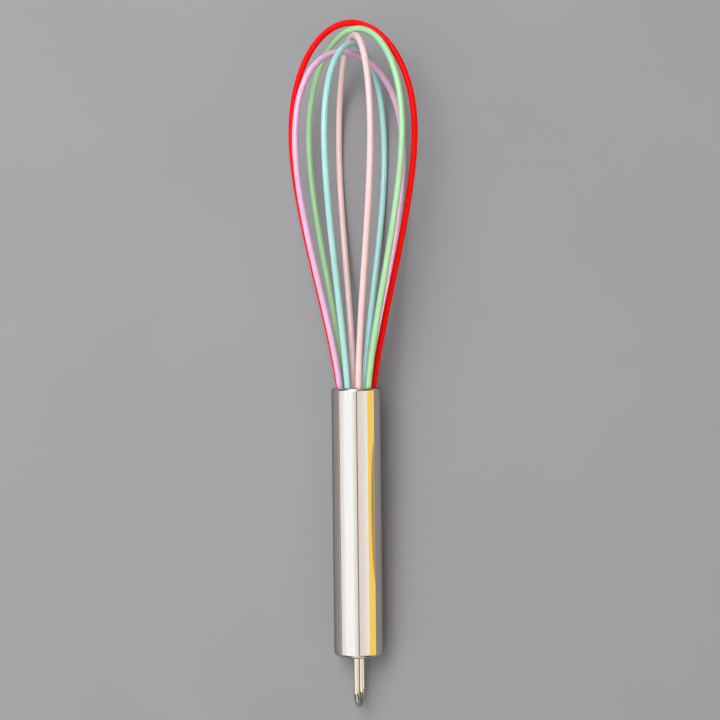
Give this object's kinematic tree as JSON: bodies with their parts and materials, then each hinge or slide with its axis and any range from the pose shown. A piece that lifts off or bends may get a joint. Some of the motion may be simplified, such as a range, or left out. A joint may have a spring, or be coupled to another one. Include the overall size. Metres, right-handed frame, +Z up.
{
  "type": "balloon whisk",
  "caption": "Balloon whisk with coloured silicone covered wire loops, a polished tubular steel handle and a wire hanging eye.",
  "frame": {"origin": "on the surface that the whisk lies on, under the middle of its bounding box", "axes": "+Y towards the tip of the loops, +X to the right seen from above, +Z up off the surface; the whisk's own axis leans 4.485 degrees up towards the tip, as it rests"},
  "size_m": [0.0496, 0.2548, 0.0484],
  "materials": {
    "polished_stainless": "drawn stainless steel, mirror polished",
    "moulded_nylon": "moulded dark nylon, matt",
    "nitrile_rubber": "moulded nitrile rubber",
    "cast_epoxy": "cast epoxy resin",
    "plain_steel": "stamped steel, as cut",
    "spring_steel": "drawn stainless spring wire",
    "silicone_red": "extruded food grade silicone, satin",
    "silicone_green": "extruded food grade silicone, satin",
    "silicone_pink": "extruded food grade silicone, satin",
    "silicone_aqua": "extruded food grade silicone, satin",
    "silicone_violet": "extruded food grade silicone, satin"
  },
  "bodies": {
    "root": {"handle_tube": "polished_stainless", "tail_cap": "polished_stainless", "hanging_loop": "polished_stainless", "mouth_plug": "moulded_nylon", "mouth_seal_ring": "nitrile_rubber", "potting_resin": "cast_epoxy", "wire_anchor_plate": "plain_steel", "tail_seal": "nitrile_rubber", "loop_backing_plate": "plain_steel", "loop_ferrule_upper": "plain_steel", "loop_ferrule_lower": "plain_steel", "sleeve_red": "silicone_red", "wire_red": "spring_steel", "sleeve_green": "silicone_green", "wire_green": "spring_steel", "sleeve_pink": "silicone_pink", "wire_pink": "spring_steel", "sleeve_aqua": "silicone_aqua", "wire_aqua": "spring_steel", "sleeve_violet": "silicone_violet", "wire_violet": "spring_steel"}
  },
  "joints": []
}
